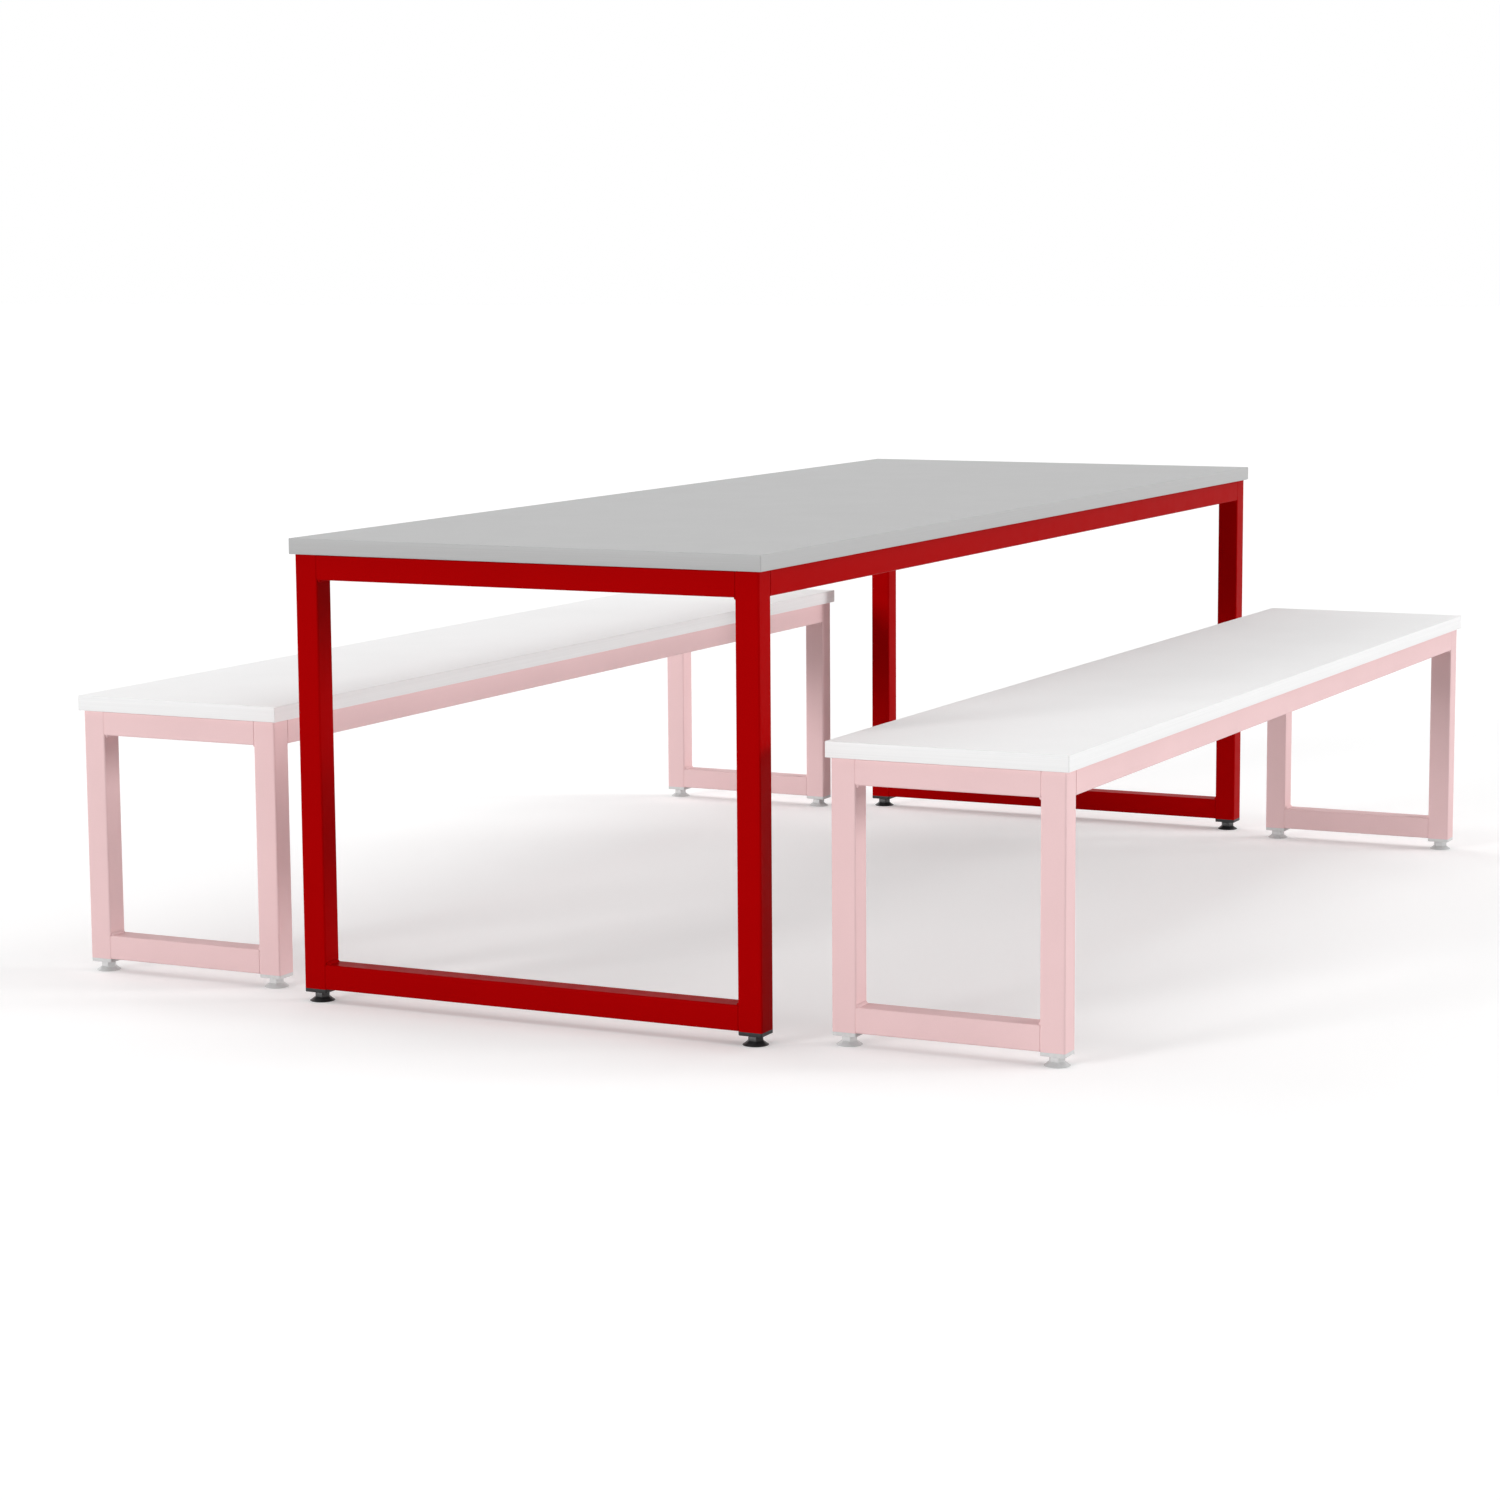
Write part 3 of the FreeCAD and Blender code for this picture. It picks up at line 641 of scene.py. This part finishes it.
def add_welds(unit, family):
    """Beads in the inside corners, and ground seams on the flush faces, at each of the four legs."""
    welds = Shape()
    bead_length = TUBE_SIDE - 2 * TUBE_CORNER
    for end, x_sign in ENDS.items():
        for side, y_sign in SIDES.items():
            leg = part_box(f"{unit}_leg_{end}_{side}")
            top_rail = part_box(f"{unit}_end_top_rail_{end}")
            bottom_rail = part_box(f"{unit}_end_bottom_rail_{end}")
            out_x = X * x_sign
            out_y = Y * y_sign
            centre = middle_of(leg)
            half = TUBE_SIDE / 2
            top_z = middle_of(top_rail).z
            bottom_z = middle_of(bottom_rail).z
            x_inner = centre.x - x_sign * half
            x_outer = centre.x + x_sign * half
            y_inner = centre.y - y_sign * half
            y_outer = centre.y + y_sign * half
            beads = (
                (Vector((centre.x, y_inner, top_rail[0].z)), X, -out_y, -Z, WELD_LEG),
                (Vector((centre.x, y_inner, bottom_rail[1].z)), X, -out_y, Z, WELD_LEG),
                (Vector((x_inner, centre.y, top_rail[0].z)), Y, -out_x, -Z, WELD_LEG),
                (Vector((x_inner, y_inner, top_z)), Z, -out_x, -out_y, TUBE_CORNER),
            )
            for origin, along, first, second, leg_size in beads:
                welds.add(bead_skin(origin, along, first, second, leg_size, bead_length))
            seams = (
                (Vector((x_outer, y_inner, top_z)), out_y, out_x),
                (Vector((x_outer, y_inner, bottom_z)), out_y, out_x),
                (Vector((x_inner, y_inner, bottom_z)), out_y, -out_x),
                (Vector((x_inner, y_outer, top_z)), out_x, out_y),
            )
            for origin, into_leg, outward in seams:
                welds.add(seam_skin(origin, Z, into_leg, outward, bead_length))
    welds.piece(f"{unit}_welds", unit, f"{family}_paint", f"{unit}_weld_beads")


# ---------------------------------------------------------------- edge bands

BAND_THICKNESS = 2 * MM
BAND_TOP_ROUND = 1.5 * MM
BAND_LOW_ROUND = 1.2 * MM
BAND_NOTCH = 0.03 * MM
BAND_CORNER_STEPS = 8


def band_section(height):
    """The band's section as (inwards from its face, up) points: rounded edges, and a hairline
    notch where it meets the board's face."""
    low_steps = 3
    top_steps = 5
    points = [(BAND_THICKNESS, 0)]
    for step in range(low_steps + 1):
        angle = QUARTER_TURN * step / low_steps
        points.append((BAND_LOW_ROUND * (1 - math.sin(angle)),
                       BAND_LOW_ROUND * (1 - math.cos(angle))))
    for step in range(top_steps + 1):
        angle = QUARTER_TURN * step / top_steps
        points.append((BAND_TOP_ROUND * (1 - math.cos(angle)),
                       height - BAND_TOP_ROUND * (1 - math.sin(angle))))
    points += [(BAND_THICKNESS - BAND_NOTCH, height), (BAND_THICKNESS, height - BAND_NOTCH)]
    return points


def add_edging(unit, family):
    """A band round the edge of the board, bent round its corners."""
    low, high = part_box(f"{unit}_edging")
    section = band_section(high.z - low.z)
    centre = (low + high) / 2
    reach = (high - low) / 2
    rings = []
    for quarter, (x_sign, y_sign) in enumerate(((1, 1), (-1, 1), (-1, -1), (1, -1))):
        pivot = Vector((centre.x + x_sign * (reach.x - BAND_THICKNESS),
                        centre.y + y_sign * (reach.y - BAND_THICKNESS), low.z))
        for step in range(BAND_CORNER_STEPS + 1):
            angle = QUARTER_TURN * (quarter + step / BAND_CORNER_STEPS)
            outward = Vector((math.cos(angle), math.sin(angle), 0))
            rings.append([pivot + outward * (BAND_THICKNESS - inwards) + Z * up
                          for inwards, up in section])
    band = Shape()
    band.add(skin(rings, ends="joined"))
    band.piece(f"{unit}_edge_band", unit, f"{family}_edging", f"{unit}_edging")


# ---------------------------------------------------------------- studio

AMBIENT = 0.24
FLOOR_COLOUR = 0.85
FLOOR_LIFT = 0.215
FLOOR_SIDE = 120
FLOOR_CLEARANCE = 0.2 * MM

# Each lamp's strength, its width in degrees, and the way it shines.
LAMPS = {
    "overhead": (1.0, 70, (0, 0, -1)),
    "side": (1.65, 12, (-0.5, 1, -0.15)),
    "high_side": (0.5, 40, (-0.5, 1, -1.12)),
    "end": (1.75, 16, (1, -0.5, -0.235)),
    "back": (0.8, 50, (-0.3, -1, -0.6)),
}


def seen_directly(tree):
    """1 for what the eye, gloss and glass see, and 0 for light that only bounces."""
    path = tree.nodes.new("ShaderNodeLightPath")
    total = path.outputs["Is Camera Ray"]
    for name in ("Is Glossy Ray", "Is Transmission Ray"):
        larger = tree.nodes.new("ShaderNodeMath")
        larger.operation = "MAXIMUM"
        tree.links.new(total, larger.inputs[0])
        tree.links.new(path.outputs[name], larger.inputs[1])
        total = larger.outputs[0]
    return total


def add_world():
    """White where it is seen, and an even, softer light on the object."""
    world = bpy.data.worlds.new("studio")
    world.use_nodes = True
    bpy.context.scene.world = world
    tree = world.node_tree
    light = tree.nodes["Background"]
    light.inputs["Color"].default_value = (1, 1, 1, 1)
    strength = tree.nodes.new("ShaderNodeMapRange")
    strength.inputs["To Min"].default_value = AMBIENT
    strength.inputs["To Max"].default_value = 1
    tree.links.new(seen_directly(tree), strength.inputs["Value"])
    tree.links.new(strength.outputs["Result"], light.inputs["Strength"])


def add_floor():
    """A pale floor that keeps the shadows, and whose lit part is white where it is seen."""
    material = bpy.data.materials.new("floor")
    material.use_nodes = True
    tree = material.node_tree
    tree.nodes.remove(tree.nodes["Principled BSDF"])
    lit = tree.nodes.new("ShaderNodeBsdfDiffuse")
    lit.inputs["Color"].default_value = (FLOOR_COLOUR,) * 3 + (1,)
    lift = tree.nodes.new("ShaderNodeEmission")
    strength = tree.nodes.new("ShaderNodeMath")
    strength.operation = "MULTIPLY"
    strength.inputs[1].default_value = FLOOR_LIFT
    tree.links.new(seen_directly(tree), strength.inputs[0])
    tree.links.new(strength.outputs[0], lift.inputs["Strength"])
    both = tree.nodes.new("ShaderNodeAddShader")
    tree.links.new(lit.outputs[0], both.inputs[0])
    tree.links.new(lift.outputs[0], both.inputs[1])
    tree.links.new(both.outputs[0], tree.nodes["Material Output"].inputs["Surface"])
    half = FLOOR_SIDE / 2
    mesh = bpy.data.meshes.new("floor")
    mesh.from_pydata([(-half, -half, 0), (half, -half, 0), (half, half, 0), (-half, half, 0)],
                     [], [(0, 1, 2, 3)])
    mesh.materials.append(material)
    floor = bpy.data.objects.new("floor", mesh)
    floor.location.z = -FLOOR_CLEARANCE
    bpy.context.scene.collection.objects.link(floor)


def add_lamp(name, strength, width, towards):
    """A broad, distant lamp shining along a direction."""
    lamp = bpy.data.lights.new(name, "SUN")
    lamp.energy = strength
    lamp.angle = math.radians(width)
    sun = bpy.data.objects.new(name, lamp)
    sun.rotation_euler = Vector(towards).to_track_quat("-Z", "Y").to_euler()
    bpy.context.scene.collection.objects.link(sun)


def add_camera():
    """The picture's own view, with its optical centre a little off the middle."""
    forward = Vector((math.cos(CAMERA_YAW) * math.cos(CAMERA_DOWN),
                      math.sin(CAMERA_YAW) * math.cos(CAMERA_DOWN), -math.sin(CAMERA_DOWN)))
    level_right = forward.cross(Z).normalized()
    level_up = level_right.cross(forward)
    right = level_right * math.cos(CAMERA_ROLL) + level_up * math.sin(CAMERA_ROLL)
    up = level_up * math.cos(CAMERA_ROLL) - level_right * math.sin(CAMERA_ROLL)
    lens = bpy.data.cameras.new("camera")
    lens.sensor_width = SENSOR_WIDTH
    lens.lens = SENSOR_WIDTH * FOCAL_LENGTH / PICTURE_SIDE
    lens.shift_x = 0.5 - OPTICAL_CENTRE[0] / PICTURE_SIDE
    lens.shift_y = OPTICAL_CENTRE[1] / PICTURE_SIDE - 0.5
    lens.clip_end = 2 * FLOOR_SIDE
    camera = bpy.data.objects.new("camera", lens)
    facing = Matrix((right, up, -forward)).transposed()
    camera.matrix_world = Matrix.Translation(CAMERA_PLACE) @ facing.to_4x4()
    bpy.context.scene.collection.objects.link(camera)
    bpy.context.scene.camera = camera


bpy.context.scene.view_settings.view_transform = "Standard"
add_camera()
add_world()
add_floor()
for lamp_name, lamp_values in LAMPS.items():
    add_lamp(lamp_name, *lamp_values)

finish_nodes()
for unit, family in UNITS.items():
    add_edging(unit, family)
    add_welds(unit, family)
    add_screws(unit)
    add_inserts(unit, family)
    add_feet(unit, family)
